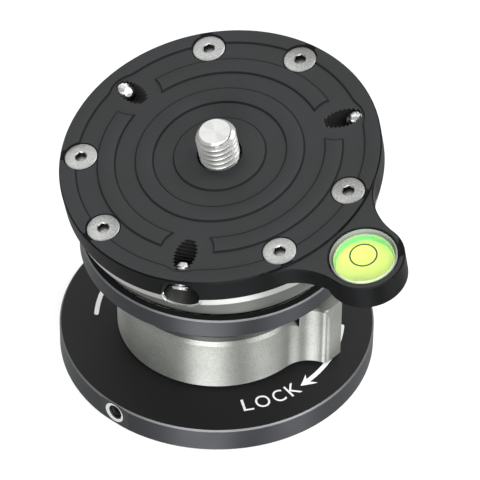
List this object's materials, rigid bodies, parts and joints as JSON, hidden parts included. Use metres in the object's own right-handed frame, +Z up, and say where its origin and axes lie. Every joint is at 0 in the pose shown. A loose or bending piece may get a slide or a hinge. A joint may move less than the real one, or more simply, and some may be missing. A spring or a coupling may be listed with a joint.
{
  "type": "leveling base",
  "caption": "Half-bowl leveling base: round tripod flange, ball socket with a lever lock ring, and a tilting camera plate with slanted set screws and a bubble level.",
  "frame": {"origin": "centre of the base flange's bottom face, at the mouth of the tripod thread", "axes": "+Z up along the base's axis; +X towards the bubble level; the plate is stored leaned 11.77 degrees towards -Y, as pictured"},
  "size_m": [0.0932, 0.0758, 0.0677],
  "materials": {
    "black_anodised": "black anodised, satin",
    "plate_anodised": "black anodised over a turned face, satin",
    "blasted_aluminium": "bead blasted and clear anodised",
    "turned_aluminium": "fine turned and clear anodised",
    "stainless": "bright stainless steel",
    "plain_steel": "plain steel",
    "brass": "machined brass",
    "white_acetal": "turned acetal",
    "white_ink": "printed ink",
    "black_acetal": "turned black acetal",
    "clear_acrylic": "polished clear acrylic",
    "level_liquid": "yellow-green liquid",
    "level_back": "bright yellow-green backing"
  },
  "bodies": {
    "socket": {"base_flange": "black_anodised", "tripod_insert": "brass", "base_edge_screw": "plain_steel", "socket_cup": "black_anodised", "socket_screw_1": "plain_steel", "socket_screw_2": "plain_steel", "socket_screw_3": "plain_steel", "ring_slip_washer": "black_acetal", "release_spring": "plain_steel"},
    "lock_ring": {"lock_ring": "blasted_aluminium"},
    "draw_bolt": {"draw_bolt": "plain_steel", "drive_pin": "plain_steel", "clamp_dome": "turned_aluminium", "clamp_washer": "plain_steel", "clamp_nut": "plain_steel"},
    "seat_ring": {"seat_ring": "white_acetal"},
    "bowl_liner": {"bowl_liner": "black_acetal"},
    "bowl": {"bowl": "turned_aluminium", "top_plate": "plate_anodised", "camera_screw": "stainless", "camera_screw_retainer": "brass", "level_case": "clear_acrylic", "level_liquid": "level_liquid", "level_back": "level_back", "plate_screw_1": "stainless", "plate_screw_2": "stainless", "plate_screw_3": "stainless", "plate_screw_4": "stainless", "plate_screw_5": "stainless", "plate_screw_6": "stainless"},
    "set_screw_1": {"set_screw_1": "stainless"},
    "set_screw_2": {"set_screw_2": "stainless"},
    "set_screw_3": {"set_screw_3": "stainless"}
  },
  "joints": [
    {"name": "lock_ring_turn", "type": "hinge", "parent": "socket", "child": "lock_ring", "pos_m": [0, 0, 0.0139], "axis": [0, 0, 1], "range_deg": [-30, 100]},
    {"name": "draw_bolt_lift", "type": "slide", "parent": "socket", "child": "draw_bolt", "axis": [0, 0, 1], "range_m": [-0.00016, 0.00053], "deforming": ["release_spring"]},
    {"name": "bowl_pan", "type": "hinge", "parent": "socket", "child": "seat_ring", "pos_m": [0, 0, 0.0614], "axis": [0, 0, 1], "continuous": true},
    {"name": "bowl_tilt", "type": "hinge", "parent": "seat_ring", "child": "bowl_liner", "pos_m": [0, 0, 0.0614], "axis": [1, 0, 0], "range_deg": [-26.7, 3.2]},
    {"name": "bowl_swivel", "type": "hinge", "parent": "bowl_liner", "child": "bowl", "pos_m": [0, 0, 0.0614], "axis": [0, -0.204, 0.979], "continuous": true},
    {"name": "set_screw_1_travel", "type": "slide", "parent": "bowl", "child": "set_screw_1", "axis": [-0.4145, -0.8169, 0.401], "range_m": [-0.0008, 0.0045]},
    {"name": "set_screw_2_travel", "type": "slide", "parent": "bowl", "child": "set_screw_2", "axis": [0.829, -0.1141, 0.5474], "range_m": [-0.0008, 0.0045]},
    {"name": "set_screw_3_travel", "type": "slide", "parent": "bowl", "child": "set_screw_3", "axis": [-0.4145, 0.5888, 0.6939], "range_m": [-0.0008, 0.0045]}
  ],
  "couplings": [
    {"joint": "draw_bolt_lift", "follows": "lock_ring_turn", "m_per_rad": 0.0003}
  ]
}
